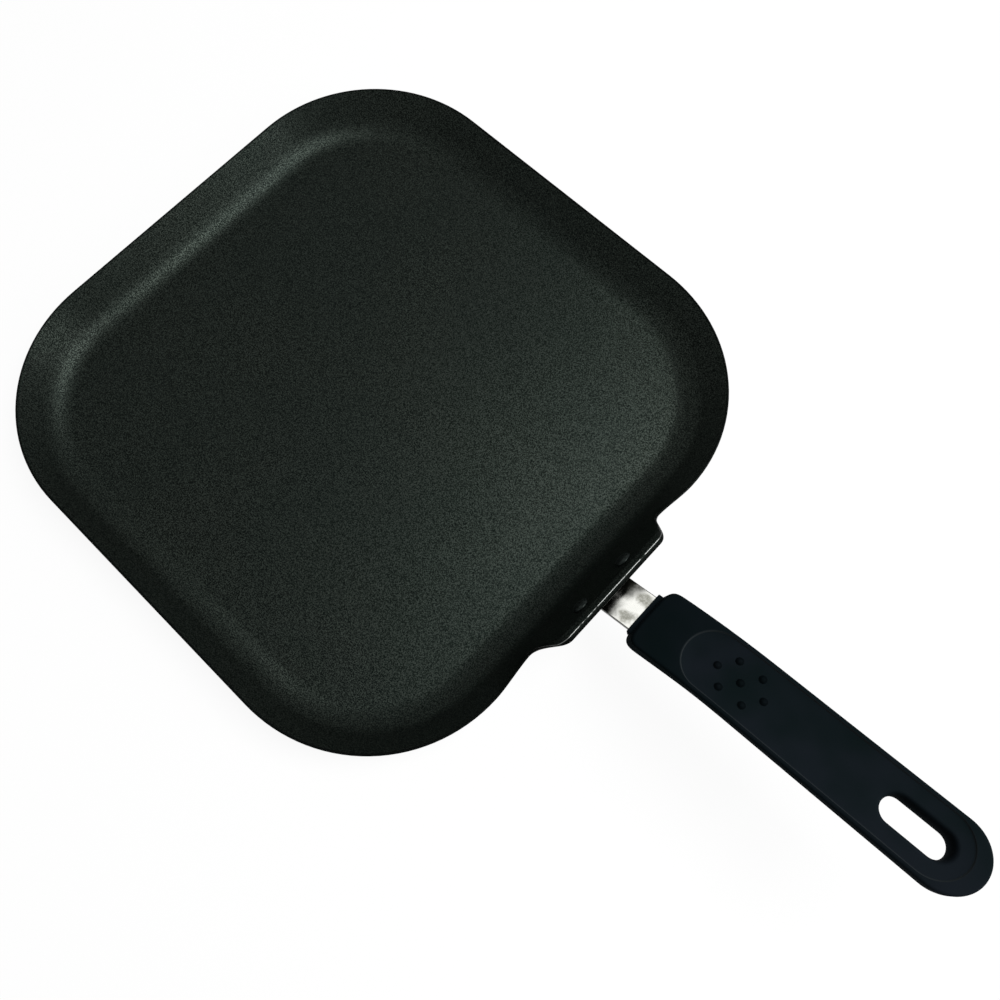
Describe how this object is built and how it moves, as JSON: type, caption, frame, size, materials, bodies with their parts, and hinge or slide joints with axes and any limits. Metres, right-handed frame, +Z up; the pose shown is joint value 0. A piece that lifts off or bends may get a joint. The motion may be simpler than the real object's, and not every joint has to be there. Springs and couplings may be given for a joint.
{
  "type": "griddle pan",
  "caption": "Square shallow griddle pan with rounded corners, flared walls and a raised ear; a riveted steel bracket carries a dark moulded handle with a hanging slot.",
  "frame": {"origin": "middle of the pan's flat underside, where it stands on the hob", "axes": "+X along the handle, away from the pan; +Z up; +Y to the left seen from the pan towards the handle"},
  "size_m": [0.438, 0.28, 0.0752],
  "materials": {
    "nonstick_coating": "dark charcoal nonstick with fine metallic speckle",
    "plated_steel": "bright plated steel",
    "rivet_coating": "dark coated steel",
    "grip_plastic": "blue-black soft matte moulding",
    "screw_steel": "plated steel",
    "insert_brass": "turned brass"
  },
  "bodies": {
    "root": {"pan_body": "nonstick_coating", "handle_bracket": "plated_steel", "rivet_left": "rivet_coating", "rivet_right": "rivet_coating", "handle_grip": "grip_plastic", "handle_screw": "screw_steel", "lock_washer": "screw_steel", "threaded_insert": "insert_brass"}
  },
  "joints": []
}
